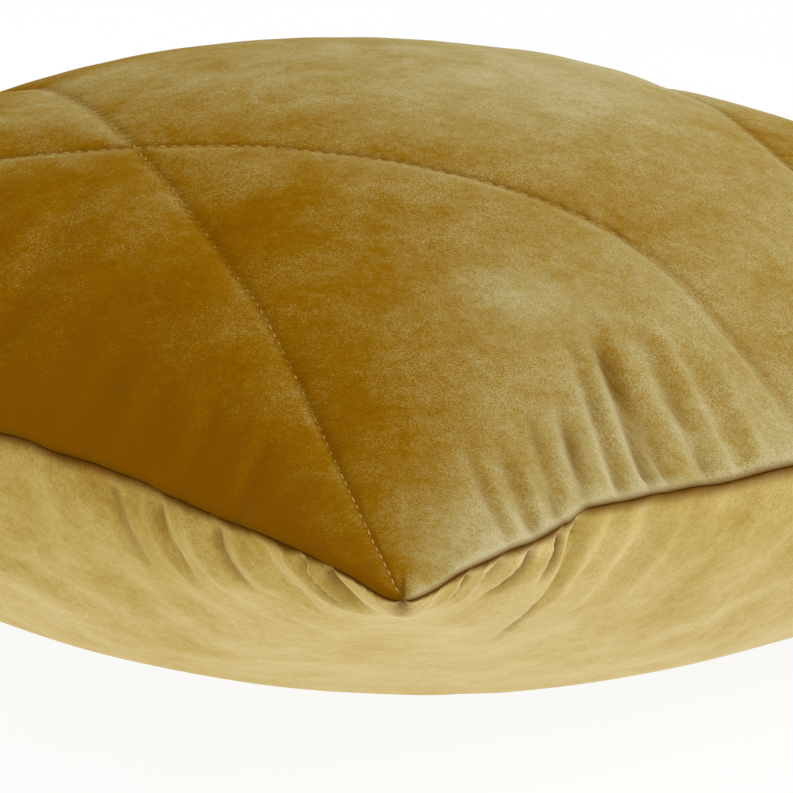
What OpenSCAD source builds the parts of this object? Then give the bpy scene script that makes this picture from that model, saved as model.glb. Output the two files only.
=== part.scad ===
// Square throw pillow: quilted front cover, plain back cover, hidden zipper and a filled insert.
// Frame: X and Y along the edges, +Z up. The pillow lies on its back face, quilted face up.
// The origin is the centre of the footprint, on the surface that the pillow rests on.
// The zipper closes at its -X end and opens towards +X, in the seam of the +Y edge.

/* [Pillow] */
// Size along X, from corner to corner of the edge seam
pillow_w = 457; // [380:1:610]
// Size along Y, from corner to corner of the edge seam
pillow_d = 457; // [420:1:610]
// Height of the quilted front face above the seam
front_crown = 76; // [60:1:100]
// Depth from the seam down to the face that the pillow rests on
back_depth = 84; // [66:1:105]
// How far the middle of each edge is pulled in from the line between its corners
side_pull = 30; // [10:1:36]
// Length over which an edge flares out to its corner
ear_len = 135; // [90:1:150]
// Half width of the flat patch that the back face rests on
rest_half = 88; // [60:1:110]
// Fullness of the front face: low is boxy, high is peaked
front_fullness = 0.68; // [0.55:0.01:0.75]
// Fullness of the back face: low is boxy, high is peaked
back_fullness = 0.6; // [0.5:0.01:0.7]

/* [Cover] */
// Thickness of the velvet with its pile
velvet_t = 1.8; // [1.2:0.1:2.4]
// Seam allowance turned in from the edge seam
seam_allow = 10; // [8:0.5:12]
// Thickness of the pressed seam allowance
flange_t = 1; // [0.8:0.1:1.4]
// Half of the gap between the two seam allowances
seam_gap = 0.2; // [0.15:0.05:0.3]
// Diameter of the edge seam's thread
seam_thread_d = 0.9; // [0.7:0.1:1.2]
// Distance of the stitching from the seam line
stitch_inset = 2.6; // [2:0.1:3.5]

/* [Quilting] */
// Thickness of the wadding under the front face
wadding_t = 5; // [3:0.5:8]
// Thickness of the wadding where its rim is pressed by the stitching
wadding_rim = 1.5; // [1:0.1:2.5]
// Thickness of the backing cloth under the wadding
backing_t = 0.5; // [0.4:0.1:0.8]
// Gap between neighbouring layers
layer_gap = 0.3; // [0.2:0.1:0.6]
// Gap between the quilted layers and the insert
insert_gap = 1; // [0.6:0.1:2]
// How far the wadding and its backing stop short of the seam
quilt_inset = 11; // [10.5:0.5:14]
// Width of a line of topstitching
quilting_w = 0.8; // [0.6:0.1:1.2]
// Distance from the seam at which a line of topstitching ends
quilting_end = 26; // [22:1:40]
// Distance from the middle of a side edge at which a line of topstitching meets it
quilting_spread = 48; // [30:1:70]

/* [Zipper] */
// Length of the closed chain between the stops
chain_len = 305; // [254:1:330]
// Width of the lip of velvet that hides the chain
lip_w = 4.4; // [4:0.1:5.5]
// Half of the slit between the two lips
slit_half = 0.7; // [0.6:0.05:0.9]
// Width of one tape
tape_w = 12; // [10:0.5:14]
// Thickness of one tape
tape_t = 0.5; // [0.4:0.1:0.7]
// Outer radius of a coil
coil_r = 1.1; // [0.8:0.1:1.3]
// Distance from one coil turn to the next
coil_pitch = 3; // [2:0.5:4]
// Depth of the groove between two coil turns
coil_groove = 0.3; // [0.2:0.05:0.4]
// Diameter of the thread that holds a tape
tape_thread_d = 0.8; // [0.6:0.1:1]
// Length of a stop along the chain
stop_len = 3; // [2:0.5:4]
// Wall of a stop around the coil
stop_wall = 0.4; // [0.3:0.1:0.6]

/* [Slider and pull] */
// Length of the slider along the chain
slider_len = 9; // [7:0.5:12]
// Wall thickness of the slider
slider_wall = 0.9; // [0.7:0.1:1.2]
// Thickness of the neck that passes through the slit
neck_t = 0.8; // [0.6:0.1:0.9]
// Length of the neck along the chain
neck_len = 4; // [3:0.5:6]
// Clearance between the slider and what it runs on
run_gap = 0.3; // [0.25:0.05:0.4]
// Radius of the pin that the pull hangs on
pin_r = 0.6; // [0.5:0.05:0.8]
// Radial clearance of the pull on its pin
pin_gap = 0.08; // [0.05:0.01:0.1]
// Length of the pull from its pin to its tip
pull_len = 24; // [18:1:30]
// Width of the pull at its rounded tip
pull_w = 6; // [5:0.5:8]
// Thickness of the pull
pull_t = 1.2; // [1:0.1:1.6]
// Length of the pull's barrel along its pin
barrel_len = 2.6; // [2.2:0.1:3.5]

/* [Insert and label] */
// Thickness of the insert's cloth
case_t = 0.6; // [0.4:0.1:0.8]
// Seam allowance inside the insert
case_allow = 6; // [5:0.5:8]
// Distance from the insert's seam line to the fill
fill_inset = 7.5; // [7:0.5:10]
// Width of the care label
label_w = 25; // [20:1:40]
// Thickness of the care label
label_t = 0.25; // [0.2:0.01:0.28]

/* [Hidden] */
$fn = 32;

FRONT = 1;
BACK = -1;
half_w = pillow_w / 2;
half_d = pillow_d / 2;
edge_x = half_w - side_pull;
edge_y = half_d - side_pull;
patch_share = rest_half / half_w;

// Points around the perimeter and rings from the seam to the middle of a face
RINGS = 8;
EAR_STEPS = 4;
MIDDLE_STEPS = 4;
RING_POWER = 1.2;
EAR_POWER = 1.3;
FLARE_POWER = 1.5;

// Distances along the zipper
tape_overrun = 6;
tape_half = chain_len / 2 + stop_len + tape_overrun;
zone_half = tape_half / (1 - lip_w / edge_x) + 2;
slider_rest_x = slider_len / 2 - chain_len / 2 + run_gap;

// Heights of the layers in from each face, and the lift of their rims off the seam plane
cover_lift = slit_half + flange_t;
wadding_in = velvet_t + layer_gap;
backing_in = wadding_in + wadding_t + layer_gap;
insert_front_in = backing_in + backing_t + insert_gap;
insert_back_in = velvet_t + layer_gap;
case_flange_t = case_t;
case_lift = seam_gap + case_flange_t;
quilt_lift = cover_lift + layer_gap;

// Height of a cover's or a case's outer rim: above its lifted inner rim by half of the cloth
function rim_top(lift, thickness) = lift + thickness / 2;

// How far in from the seam line the inner layers start
backing_inset = quilt_inset + wadding_rim + layer_gap;
insert_inset = backing_inset + backing_t + insert_gap;

velvet_top = [0.62, 0.44, 0.16];
velvet_back = [0.80, 0.68, 0.42];
thread_tan = [0.85, 0.70, 0.50];
cloth_white = [0.93, 0.92, 0.89];
wadding_white = [0.96, 0.96, 0.94];
brass = [0.72, 0.58, 0.30];
tape_gold = [0.66, 0.50, 0.22];

// ---- The pillow's surface -------------------------------------------------------------------

function clamp01(w) = min(1, max(0, w));

// How far an edge has flared back out to its corner, from 0 over its straight middle to 1
function flare(w, straight) = pow(clamp01((abs(w) - straight) / (1 - straight)), FLARE_POWER);

// Straight half of an edge as a share of the half size: the zipper's edge is straight along its tapes
function straight_x() = 1 - ear_len / half_d;
function straight_y(v) = v > 0 ? zone_half / half_w : 1 - ear_len / half_w;

// Plan of the surface for u and v from -1 to 1
function plan(u, v) = [
    u * (half_w - side_pull * (1 - flare(v, straight_x()))),
    v * (half_d - side_pull * (1 - flare(u, straight_y(v))))
];

// The u and v of a plan point, by repeated substitution
function unplan(p, u = 0, v = 0, left = 12) = left == 0 ? [u, v] : unplan(
    p,
    p.x / (half_w - side_pull * (1 - flare(v, straight_x()))),
    p.y / (half_d - side_pull * (1 - flare(u, straight_y(v)))),
    left - 1
);

function dome(u, v) = max(0, (1 - u * u) * (1 - v * v));
function patch_dome() = 1 - patch_share * patch_share;

// Height above the seam as a share of the full height, 1 at the top or over the flat patch
function rise(u, v, side) = side == FRONT
    ? pow(dome(u, v), front_fullness)
    : min(1, pow(dome(u, v) / patch_dome(), back_fullness));

// Share of the way out at which the flat patch begins, in the direction (c, q)
function patch_reach(c, q) =
    let (a = c * c * q * q, b = c * c + q * q, left = 1 - patch_dome())
    sqrt(2 * left / (b + sqrt(b * b - 4 * a * left)));

function ring_share(k, c, q, side) =
    let (last = side == FRONT ? 90 * (1 - 1 / RINGS) : acos(patch_reach(c, q)))
    cos(last * pow(k / (RINGS - 1), RING_POWER));

// Directions around the perimeter, counter-clockwise from the (-X, -Y) corner
function side_steps(straight) = concat(
    [for (j = [0 : EAR_STEPS - 1]) -1 + (1 - straight) * pow(j / EAR_STEPS, EAR_POWER)],
    [for (j = [0 : MIDDLE_STEPS - 1]) -straight + 2 * straight * j / MIDDLE_STEPS],
    [for (j = [0 : EAR_STEPS - 1]) 1 - (1 - straight) * pow(1 - j / EAR_STEPS, EAR_POWER)]
);
function perimeter() = concat(
    [for (t = side_steps(straight_y(-1))) [t, -1]],
    [for (t = side_steps(straight_x())) [1, t]],
    [for (t = side_steps(straight_y(1))) [-t, 1]],
    [for (t = side_steps(straight_x())) [-1, -t]]
);
DIRS = perimeter();
COUNT = len(DIRS);

// A direction on the zipper's part of the +Y edge
function on_zipper(dir) = dir.y == 1 && abs(dir.x) <= straight_y(1) + 0.0001;

function inset_scale(inset) = [1 - inset / edge_x, 1 - inset / edge_y];
function inset_plan(u, v, inset) =
    let (p = plan(u, v), k = inset_scale(inset))
    [p.x * k.x, p.y * k.y];

// Height of a layer's ring: its rim is lifted off the seam plane, its middle is at the full height
function layer_z(u, v, side, rim, full) = side * (rim + (full - rim) * rise(u, v, side));

function ring(k, inset, side, rim, full) = [
    for (d = DIRS)
        let (s = ring_share(k, d.x, d.y, side), p = inset_plan(s * d.x, s * d.y, inset))
        [p.x, p.y, layer_z(s * d.x, s * d.y, side, rim, full)]
];

// A ring in the seam: its inset and height may differ along the zipper
function seam_ring(inset, zip_inset, side, rim, zip_rim) = [
    for (d = DIRS)
        let (p = inset_plan(d.x, d.y, on_zipper(d) ? zip_inset : inset))
        [p.x, p.y, side * (on_zipper(d) ? zip_rim : rim)]
];

// The two triangles of a cell between rings r and r + 1. Their diagonal runs the same way across an
// outer face, whose rings go outwards, and an inner face, whose rings go inwards.
function cell(r, i) =
    let (j = (i + 1) % COUNT, a = r * COUNT + i, b = r * COUNT + j, c = a + COUNT, d = b + COUNT)
    r < RINGS ? [[a, c, d], [a, d, b]] : [[a, c, b], [b, c, d]];

// Faces of a closed skin through rings of COUNT points, with a point at each end
function skin_faces(rings, side) =
    let (last = rings * COUNT, start_point = last, end_point = last + 1)
    [
        for (f = concat(
            [for (i = [0 : COUNT - 1]) [start_point, i, (i + 1) % COUNT]],
            [for (r = [0 : rings - 2], i = [0 : COUNT - 1]) each cell(r, i)],
            [for (i = [0 : COUNT - 1]) [end_point, last - COUNT + (i + 1) % COUNT, last - COUNT + i]]
        )) side == FRONT ? [f[2], f[1], f[0]] : f
    ];

module skin(rings, side, start_z, end_z) {
    points = [for (r = rings) each r];
    polyhedron(
        points = concat(points, [[0, 0, start_z], [0, 0, end_z]]),
        faces = skin_faces(len(rings), side)
    );
}

// One half of a cover: an outer face, its rim, a turned-in seam allowance and an inner face
module panel(side, inset, height, thickness, allowance, zip_inset, gap, zip_gap, flange, lift) {
    skin(
        concat(
            [for (k = [RINGS - 1 : -1 : 0]) ring(k, inset, side, rim_top(lift, thickness), height)],
            [seam_ring(inset, inset, side, gap, zip_gap)],
            [seam_ring(inset + allowance, inset + zip_inset, side, gap, zip_gap)],
            [seam_ring(inset + allowance, inset + zip_inset, side, gap + flange, zip_gap + flange)],
            [for (k = [0 : RINGS - 1]) ring(k, inset + thickness, side, lift, height - thickness)]
        ),
        side, side * height, side * (height - thickness)
    );
}

// A layer between the cover and the insert, with a plain rim that may be pressed thinner
module layer(side, inset, rim, height, thickness, rim_thickness) {
    skin(
        concat(
            [for (k = [RINGS - 1 : -1 : 0]) ring(k, inset, side, rim, height)],
            [for (k = [0 : RINGS - 1]) ring(k, inset + rim_thickness, side, rim, height - thickness)]
        ),
        side, side * height, side * (height - thickness)
    );
}

// Everything is drawn around the seam plane and then stood on the rest face
module stand() translate([0, 0, back_depth]) children();

// ---- Cover ----------------------------------------------------------------------------------

module front_panel() color(velvet_top) stand()
    panel(FRONT, 0, front_crown, velvet_t, seam_allow, lip_w, seam_gap, slit_half, flange_t, cover_lift);

module back_panel() color(velvet_back) stand()
    panel(BACK, 0, back_depth, velvet_t, seam_allow, lip_w, seam_gap, slit_half, flange_t, cover_lift);

module quilt_wadding() color(wadding_white) stand()
    layer(FRONT, quilt_inset, quilt_lift, front_crown - wadding_in, wadding_t, wadding_rim);

module quilt_backing() color(cloth_white) stand()
    layer(FRONT, backing_inset, quilt_lift, front_crown - backing_in, backing_t, backing_t);

// ---- Threads --------------------------------------------------------------------------------

function unit(v) = v / norm(v);
function side_of(v) = [-v.y, v.x];

// A thread through plan points at height z, six-sided, open or closed
module thread_tube(path, z, d, closed) {
    n = len(path);
    sides = 6;
    points = [
        for (i = [0 : n - 1])
            let (
                before = path[closed ? (i + n - 1) % n : max(0, i - 1)],
                after = path[closed ? (i + 1) % n : min(n - 1, i + 1)],
                out = side_of(unit(after - before))
            )
            for (a = [0 : sides - 1])
                let (r = d / 2, c = cos(360 * a / sides), s = sin(360 * a / sides))
                [path[i].x + r * c * out.x, path[i].y + r * c * out.y, z + r * s]
    ];
    spans = closed ? n : n - 1;
    wall = [
        for (i = [0 : spans - 1], a = [0 : sides - 1])
            let (j = (i + 1) % n, b = (a + 1) % sides)
            [i * sides + a, j * sides + a, j * sides + b, i * sides + b]
    ];
    ends = closed ? [] : [
        [for (a = [0 : sides - 1]) a],
        [for (a = [sides - 1 : -1 : 0]) (n - 1) * sides + a]
    ];
    polyhedron(points = points, faces = concat(wall, ends));
}

// The seam's path around the pillow, from one end of the zipper to the other
SIDE_STEPS = 2 * EAR_STEPS + MIDDLE_STEPS;
zipper_end = 2 * SIDE_STEPS + EAR_STEPS + MIDDLE_STEPS;
seam_start = (zone_half + 4) / half_w;
function seam_path(inset) = [
    for (d = concat(
        [[-seam_start, 1]],
        [for (i = [1 : COUNT - MIDDLE_STEPS - 1]) DIRS[(zipper_end + i) % COUNT]],
        [[seam_start, 1]]
    )) inset_plan(d.x, d.y, inset)
];

module edge_seam_thread() color(thread_tan) stand()
    thread_tube(seam_path(stitch_inset), 0, seam_thread_d, false);

module insert_seam_thread() color(cloth_white) stand()
    thread_tube([for (d = DIRS) inset_plan(d.x, d.y, insert_inset + stitch_inset)], 0, seam_thread_d, true);

// Height of a front layer's surface above a plan point
function surface_z(p, inset, rim, full) =
    let (k = inset_scale(inset), w = unplan([p.x / k.x, p.y / k.y]))
    layer_z(w.x, w.y, FRONT, rim, full);

// The larger of two values, rounded where they are about equal
function rounded_max(a, b, blend) =
    let (h = clamp01(0.5 + (a - b) / (2 * blend)))
    b * (1 - h) + a * h + blend * h * (1 - h);

// A line of topstitching through the velvet, the wadding and the backing. On the flat cloth, and so in
// u and v, it runs straight from a corner towards the middle of the opposite side edge, and near that
// edge it turns to meet it squarely.
QUILTING_STEPS = 28;
QUILTING_TURN = 0.06;
module quilting_thread(corner) {
    proud = 0.2;
    last = QUILTING_STEPS;
    first_share = quilting_end / half_d;
    last_share = 1 - quilting_end / (2 * edge_x);
    path = [
        for (i = [-1 : last + 1])
            let (s = first_share + (last_share - first_share) * i / last)
            [corner.x * (1 - 2 * s), corner.y * rounded_max(1 - s, quilting_spread / half_d, QUILTING_TURN)]
    ];
    points = [
        for (i = [1 : last + 1])
            let (
                p = plan(path[i].x, path[i].y),
                run = plan(path[i + 1].x, path[i + 1].y) - plan(path[i - 1].x, path[i - 1].y),
                out = side_of(unit(run)) * quilting_w / 2,
                top = surface_z(p, 0, rim_top(cover_lift, velvet_t), front_crown) + proud,
                low = surface_z(
                    p, backing_inset + backing_t, quilt_lift, front_crown - backing_in - backing_t
                ) - proud
            )
            each [
                [p.x - out.x, p.y - out.y, low], [p.x + out.x, p.y + out.y, low],
                [p.x + out.x, p.y + out.y, top], [p.x - out.x, p.y - out.y, top]
            ]
    ];
    wall = [
        for (i = [0 : last - 1], a = [0 : 3])
            let (b = (a + 1) % 4)
            [4 * i + a, 4 * i + 4 + a, 4 * i + 4 + b, 4 * i + b]
    ];
    ends = [[0, 1, 2, 3], [for (a = [3 : -1 : 0]) 4 * last + a]];
    color(thread_tan) stand() polyhedron(points = points, faces = concat(wall, ends));
}
module quilting_thread_1() quilting_thread([1, -1]);
module quilting_thread_2() quilting_thread([-1, -1]);
module quilting_thread_3() quilting_thread([-1, 1]);
module quilting_thread_4() quilting_thread([1, 1]);

// ---- Zipper ---------------------------------------------------------------------------------

// Inner face of the cover at the end of the zipper, where it is lowest, at ring k:
// how far in from the seam line, and how high
function cover_inside(k, side) =
    let (
        u = zone_half / half_w,
        s = ring_share(k, u, 1, side),
        full = (side == FRONT ? front_crown : back_depth) - velvet_t
    )
    [
        edge_y - s * edge_y * inset_scale(velvet_t).y,
        abs(layer_z(s * u, s, side, cover_lift, full))
    ];

// Section of a tape: up behind the lip, then along the inside of the cover
function tape_section(side) =
    let (
        low = [lip_w, slit_half],
        near = cover_inside(1, side),
        far = cover_inside(2, side),
        along = unit(far - near),
        knee = [lip_w, near.y + (lip_w - layer_gap - near.x) * along.y / along.x],
        tip = knee + along * (tape_w - norm(knee - low))
    )
    [low, knee, tip, [tip.x + tape_t, tip.y], [knee.x + tape_t, knee.y], [low.x + tape_t, low.y]];

// Draws a section of [inset, height] points, extruded along X behind the +Y edge
module along_zipper(length, side) {
    translate([-length / 2, edge_y, 0])
        rotate([90, 0, 90])
            linear_extrude(height = length)
                mirror([1, 0])
                    mirror([0, side == FRONT ? 0 : 1])
                        children();
}

module zipper_tape(side) color(tape_gold) stand()
    along_zipper(2 * tape_half, side) polygon(tape_section(side));
module zipper_tape_front() zipper_tape(FRONT);
module zipper_tape_back() zipper_tape(BACK);

module zipper_stitching(side) color(thread_tan) stand()
    translate([-tape_half, edge_y - lip_w, side * (slit_half + flange_t / 2)])
        rotate([0, 90, 0])
            cylinder(h = 2 * tape_half, d = tape_thread_d);
module zipper_stitching_front() zipper_stitching(FRONT);
module zipper_stitching_back() zipper_stitching(BACK);

coil_y = edge_y - lip_w - tape_t - coil_r;
coil_z = slit_half + coil_r;
coil_count = floor(chain_len / coil_pitch);

// A coil is drawn as a ribbed rod that reaches from stop to stop
module zipper_coil(side) {
    rib = coil_pitch / 2;
    root = coil_r - coil_groove;
    outline = concat(
        [[0, 0], [0, chain_len]],
        [for (i = [coil_count - 1 : -1 : 0])
            each [[root, i * coil_pitch + coil_pitch], [root, i * coil_pitch + rib],
                [coil_r, i * coil_pitch + rib], [coil_r, i * coil_pitch]]]
    );
    rest = chain_len - coil_count * coil_pitch;
    full = rest > 0 ? concat([[0, 0], [0, chain_len], [root, chain_len]],
        [for (i = [2 : len(outline) - 1]) outline[i]]) : outline;
    color(brass) stand()
        translate([-chain_len / 2, coil_y, side * coil_z])
            rotate([0, 90, 0])
                rotate_extrude() polygon(full);
}
module zipper_coil_front() zipper_coil(FRONT);
module zipper_coil_back() zipper_coil(BACK);

// A stop is a metal clip on the tape at the end of its coil
stop_r = coil_r + stop_wall;
module stop_clip(side, x) {
    translate([x, coil_y + coil_r - 2 * stop_r, side > 0 ? slit_half : -slit_half - 2 * coil_r])
        cube([stop_len, 2 * stop_r, 2 * coil_r]);
}
module zipper_top_stops() color("silver") stand() {
    stop_clip(FRONT, -chain_len / 2 - stop_len);
    stop_clip(BACK, -chain_len / 2 - stop_len);
}
module zipper_bottom_stop() color("silver") stand()
    translate([chain_len / 2, coil_y + coil_r - 2 * stop_r, -slit_half - 2 * coil_r])
        cube([stop_len, 2 * stop_r, 2 * slit_half + 4 * coil_r]);

// ---- Slider and pull ------------------------------------------------------------------------

back_plate_y = coil_y - coil_r - run_gap - slider_wall;
cheek_z = slit_half + 2 * coil_r + run_gap;
cheek_end_y = edge_y - lip_w - tape_t - run_gap;
bridge_y = edge_y + run_gap;
barrel_r = pin_r + pin_gap + slider_wall;
pin_y = bridge_y + slider_wall + run_gap + barrel_r;
ear_z = barrel_len / 2 + run_gap / 2;
bridge_half = ear_z + slider_wall;

// A block with its X centred on the slider
module slider_block(length, y0, y1, z0, z1) {
    translate([-length / 2, y0, z0]) cube([length, y1 - y0, z1 - z0]);
}

module zipper_slider() color(brass) stand() translate([slider_rest_x, 0, 0]) {
    union() {
        slider_block(
            slider_len, back_plate_y, back_plate_y + slider_wall, -cheek_z - slider_wall,
            cheek_z + slider_wall
        );
        for (side = [FRONT, BACK])
            slider_block(
                slider_len, back_plate_y, cheek_end_y,
                side > 0 ? cheek_z : -cheek_z - slider_wall, side > 0 ? cheek_z + slider_wall : -cheek_z
            );
        slider_block(neck_len, back_plate_y, bridge_y + slider_wall, -neck_t / 2, neck_t / 2);
        slider_block(neck_len, bridge_y, bridge_y + slider_wall, -bridge_half, bridge_half);
        for (z = [-bridge_half, ear_z]) {
            slider_block(2 * barrel_r, bridge_y, pin_y, z, z + slider_wall);
            translate([0, pin_y, z]) cylinder(h = slider_wall, r = barrel_r);
        }
        translate([0, pin_y, -bridge_half]) cylinder(h = 2 * bridge_half, r = pin_r);
    }
}

// The pull lies along the seam, from its pin towards +X
module zipper_pull() color(brass) stand() translate([slider_rest_x, pin_y, 0]) {
    tip_r = pull_w / 2;
    hole_r = tip_r * 0.45;
    difference() {
        union() {
            translate([0, 0, -barrel_len / 2]) cylinder(h = barrel_len, r = barrel_r);
            translate([0, pull_t / 2, 0]) rotate([90, 0, 0]) linear_extrude(height = pull_t) {
                translate([pull_len - tip_r, 0]) circle(r = tip_r);
                polygon([
                    [0, -barrel_len / 2], [barrel_r + slider_wall, -barrel_len / 2],
                    [pull_len - tip_r, -tip_r], [pull_len - tip_r, tip_r],
                    [barrel_r + slider_wall, barrel_len / 2], [0, barrel_len / 2]
                ]);
            }
        }
        translate([0, 0, -barrel_len]) cylinder(h = 2 * barrel_len, r = pin_r + pin_gap);
        translate([pull_len - tip_r, pull_t, 0]) rotate([90, 0, 0]) cylinder(h = 2 * pull_t, r = hole_r);
    }
}

// ---- Insert and label -----------------------------------------------------------------------

module insert_case_front() color(cloth_white) stand()
    panel(
        FRONT, insert_inset, front_crown - insert_front_in, case_t, case_allow, case_allow,
        seam_gap, seam_gap, case_flange_t, case_lift
    );

module insert_case_back() color(cloth_white) stand()
    panel(
        BACK, insert_inset, back_depth - insert_back_in, case_t, case_allow, case_allow,
        seam_gap, seam_gap, case_flange_t, case_lift
    );

// The fill is one closed body through the insert's seam plane
module insert_fill() {
    inset = insert_inset + fill_inset;
    top = front_crown - insert_front_in - case_t - layer_gap;
    low = back_depth - insert_back_in - case_t - layer_gap;
    color(wadding_white) stand()
        skin(
            concat(
                [for (k = [RINGS - 1 : -1 : 0]) ring(k, inset, FRONT, 0, top)],
                [for (k = [1 : RINGS - 1]) ring(k, inset, BACK, 0, low)]
            ),
            FRONT, top, -low
        );
}

// Inner face of the back cover and outer face of the insert at ring k, on the -X edge
function label_point(k) =
    let (
        s = ring_share(k, 1, 0, BACK),
        cover_x = edge_x - s * edge_x * inset_scale(velvet_t).x,
        insert_x = edge_x - s * edge_x * inset_scale(insert_inset).x,
        cover_z = layer_z(s, 0, BACK, cover_lift, back_depth - velvet_t),
        insert_z = layer_z(s, 0, BACK, rim_top(case_lift, case_t), back_depth - insert_back_in)
    )
    [(cover_x + insert_x) / 2, (cover_z + insert_z) / 2];

// The label is caught in the seam of the -X edge and hangs down inside the cover
module care_label() {
    caught = 1.2;
    bend = seam_allow + (insert_inset - seam_allow) / 3;
    middle = label_point(2);
    tip = label_point(3);
    color("white") stand()
        translate([-edge_x, label_w / 2, 0])
            rotate([90, 0, 0])
                linear_extrude(height = label_w)
                    polygon([
                        [caught, label_t / 2], [bend + label_t, label_t / 2],
                        [middle.x + label_t, middle.y], [tip.x + label_t, tip.y], tip, middle,
                        [bend, -label_t / 2], [caught, -label_t / 2]
                    ]);
}

front_panel();
quilt_wadding();
quilt_backing();
back_panel();
quilting_thread_1();
quilting_thread_2();
quilting_thread_3();
quilting_thread_4();
edge_seam_thread();
care_label();
zipper_tape_front();
zipper_tape_back();
zipper_stitching_front();
zipper_stitching_back();
zipper_coil_front();
zipper_coil_back();
zipper_top_stops();
zipper_bottom_stop();
zipper_slider();
zipper_pull();
insert_case_front();
insert_case_back();
insert_seam_thread();
insert_fill();
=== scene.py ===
import math

import bpy
import numpy as np
from mathutils import Matrix, Vector


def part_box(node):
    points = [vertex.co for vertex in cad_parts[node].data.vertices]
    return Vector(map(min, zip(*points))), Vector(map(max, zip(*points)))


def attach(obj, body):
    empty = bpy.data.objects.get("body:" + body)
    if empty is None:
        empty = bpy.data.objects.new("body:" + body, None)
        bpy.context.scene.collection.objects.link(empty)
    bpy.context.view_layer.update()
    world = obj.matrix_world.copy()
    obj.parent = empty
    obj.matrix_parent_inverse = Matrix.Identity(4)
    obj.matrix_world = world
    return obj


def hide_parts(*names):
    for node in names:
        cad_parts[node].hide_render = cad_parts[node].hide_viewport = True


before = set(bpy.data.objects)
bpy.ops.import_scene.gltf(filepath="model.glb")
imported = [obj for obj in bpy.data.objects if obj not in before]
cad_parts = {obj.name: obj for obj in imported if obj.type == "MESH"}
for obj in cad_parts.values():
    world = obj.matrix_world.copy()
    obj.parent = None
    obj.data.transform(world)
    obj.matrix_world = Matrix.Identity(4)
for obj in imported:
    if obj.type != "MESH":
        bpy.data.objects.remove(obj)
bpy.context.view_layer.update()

# Looks of a quilted velvet throw pillow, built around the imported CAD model. Units are metres.
# A face of the pillow is a cloth with coordinates u and v from -1 to 1. "Flat" distances are
# distances on that cloth before it was filled.

BODY = "pillow"
FRONT, BACK = 1, -1
MM = 0.001

# ---- Sizes, from the frame where it has them ------------------------------------------------

panel_low, panel_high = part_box("front_panel")
back_low, back_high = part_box("back_panel")
tape_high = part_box("zipper_tape_front")[1]
HALF = np.array([panel_high[0], panel_high[1]])
SEAM_Z = (panel_low[2] + back_high[2]) / 2
DEPTH = SEAM_Z - back_low[2]
# The velvet lip that hides the zipper, and from it how far the edges are pulled in at their middle
LIP = 4.4 * MM
EDGE_Y = tape_high[1] + LIP
SIDE_PULL = HALF[1] - EDGE_Y
ZIP_HALF = tape_high[0] + 5 * MM
# Length over which an edge flares out to its corner, and size of the corner's rounding
EAR = 0.135
TIP = 7 * MM

# The filled cover: height of each face and its fullness, where low is boxy and high is peaked
FRONT_HEIGHT, FRONT_POWER = 72.0 * MM, 0.80
BACK_HEIGHT, BACK_POWER = 103.5 * MM, 0.61
SOFT_EDGE = 0.006
REST_BLEND = 6 * MM
CORNER_DROP = 5.7 * MM

# Cloth rolled over its seam
ROLL, ROLL_REACH = 1.2 * MM, 0.8 * MM
ZIPPER_ROLL = {FRONT: 5.4 * MM, BACK: 3.2 * MM}
SEAM_GAP = 0.2 * MM
SLIT = 0.7 * MM
VELVET = 1.8 * MM

# Quilting: depth and half width of the sharp and of the broad part of a valley
CREASE, CREASE_HALF = 0.9 * MM, 1.8 * MM
VALLEY, VALLEY_HALF = 1.5 * MM, 11 * MM
PUFF, PUFF_REACH = 1.0 * MM, 60 * MM
STITCH, STITCH_PITCH = 3.6 * MM, 3.9 * MM

# Cells along each side of the cover's outer face. The inner face has one for each INNER_STEP of them.
CELLS = 280
INNER_STEP = 4
EDGE_CROWDING = 0.75


# ---- Numeric helpers ------------------------------------------------------------------------

def smooth(x):
    x = np.clip(x, 0, 1)
    return x * x * (3 - 2 * x)


def cubic_weights(f):
    return np.stack([
        ((-0.5 * f + 1) * f - 0.5) * f,
        (1.5 * f - 2.5) * f * f + 1,
        ((-1.5 * f + 2) * f + 0.5) * f,
        (0.5 * f - 0.5) * f * f,
    ])


def sample(table, a, b):
    """Value of a grid of values at fractional places (a, b), by cubic interpolation."""
    rows, columns = table.shape[:2]
    i, j = np.floor(a).astype(int), np.floor(b).astype(int)
    wa, wb = cubic_weights(a - i), cubic_weights(b - j)
    total = 0
    for p in range(4):
        for q in range(4):
            cell = table[np.clip(i + p - 1, 0, rows - 1), np.clip(j + q - 1, 0, columns - 1)]
            weight = wa[p] * wb[q]
            total = total + (cell * weight[..., None] if table.ndim == 3 else cell * weight)
    return total


def value_noise(x, y, size, seed):
    """Smooth noise from -1 to 1 whose features are about size metres across."""
    lattice = np.random.default_rng(seed).uniform(-1, 1, (97, 97))
    a, b = (x / size + 31.7) % 93 + 1, (y / size + 57.3) % 93 + 1
    return sample(lattice, a, b)


def fractal(x, y, size, seed, octaves=3):
    total = 0
    for k in range(octaves):
        total = total + value_noise(x, y, size / 2 ** k, seed + k) / 2 ** k
    return total / 1.6


# ---- Shape of the filled cover --------------------------------------------------------------

def flare(w, straight):
    return np.clip((np.abs(w) - straight) / (1 - straight), 0, 1) ** 1.5


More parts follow.
